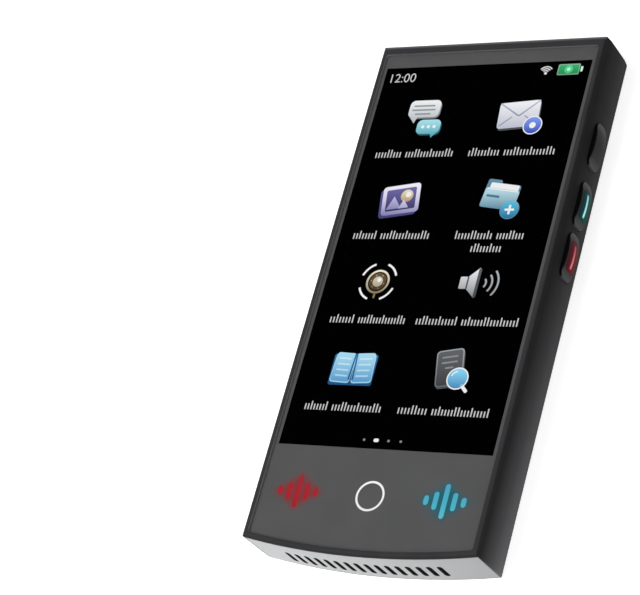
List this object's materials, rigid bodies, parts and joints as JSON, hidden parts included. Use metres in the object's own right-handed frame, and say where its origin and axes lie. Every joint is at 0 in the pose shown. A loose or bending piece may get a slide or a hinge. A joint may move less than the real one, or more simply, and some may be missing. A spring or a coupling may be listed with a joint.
{
  "type": "handheld translator",
  "caption": "Pocket voice translator: slab body with a touch screen, touch keys below it, a slotted speaker cap on the curved bottom end, and lit push-to-talk keys on one side.",
  "frame": {"origin": "middle of the flat back face, half-way between the corners", "axes": "+Z out of the screen, +Y towards the top end, +X towards the side with the three keys"},
  "size_m": [0.0601, 0.1282, 0.0128],
  "materials": {
    "frame": "fine matt, dark grey",
    "cover": "fine matt, dark grey",
    "cap": "satin silver",
    "mesh": "black woven dust mesh",
    "screw": "plated steel",
    "glass": "clear, polished",
    "border": "dark grey print",
    "display": "black, lit by its own picture",
    "backlight": "white moulding",
    "flex": "amber film",
    "board": "green solder mask",
    "led": "moulded lens",
    "guide": "clear moulding",
    "key": "satin, dark grey",
    "teal_light": "lit from inside, teal",
    "red_light": "lit from inside, red",
    "plunger": "natural nylon",
    "switch": "stamped",
    "chip": "moulded package",
    "shield": "tinned sheet",
    "plug": "black moulding",
    "port": "drawn shell",
    "microphone": "gold plated",
    "camera": "black moulding",
    "ring": "anodised",
    "flash": "frosted clear",
    "battery": "foil pouch",
    "tape": "adhesive tape",
    "speaker": "black moulding",
    "driver": "plated frame",
    "foam": "closed foam",
    "rubber": "soft rubber"
  },
  "bodies": {
    "housing": {"main_frame": "frame", "back_cover": "cover", "bottom_cap": "cap", "slot_mesh": "mesh", "cap_screws": "screw", "cover_glass": "glass", "border_film": "border", "display_panel": "display", "display_backlight": "backlight", "display_flex": "flex", "touch_key_board": "board", "touch_key_leds": "led", "key_light_guide": "guide", "power_switch": "switch", "teal_switch": "switch", "red_switch": "switch", "side_key_board": "board", "side_key_leds": "led", "side_key_flex": "flex", "main_board": "board", "processor_chip": "chip", "memory_chip": "chip", "processor_shield": "shield", "radio_chip": "chip", "radio_shield": "shield", "board_plugs": "plug", "board_screws": "screw", "port_shell": "port", "port_tongue": "plug", "top_microphone": "microphone", "antenna_strip": "flex", "camera_module": "camera", "camera_barrel": "camera", "camera_window": "glass", "camera_ring": "ring", "flash_led": "led", "flash_lens": "flash", "battery": "battery", "battery_tape": "tape", "battery_lead": "flex", "lower_flex": "flex", "lower_board": "board", "speaker_box": "speaker", "speaker_driver": "driver", "speaker_gasket": "foam", "bottom_microphone": "microphone", "microphone_boot": "rubber"},
    "power_key": {"power_button": "key", "power_plunger": "plunger"},
    "teal_key": {"teal_talk_button": "key", "teal_light_strip": "teal_light", "teal_plunger": "plunger"},
    "red_key": {"red_talk_button": "key", "red_light_strip": "red_light", "red_plunger": "plunger"}
  },
  "joints": [
    {"name": "power_key_press", "type": "slide", "parent": "housing", "child": "power_key", "axis": [-1, 0, 0], "range_m": [0, 0.0003], "stiffness_N_per_m": 800},
    {"name": "teal_key_press", "type": "slide", "parent": "housing", "child": "teal_key", "axis": [-1, 0, 0], "range_m": [0, 0.0003], "stiffness_N_per_m": 800},
    {"name": "red_key_press", "type": "slide", "parent": "housing", "child": "red_key", "axis": [-1, 0, 0], "range_m": [0, 0.0003], "stiffness_N_per_m": 800}
  ]
}
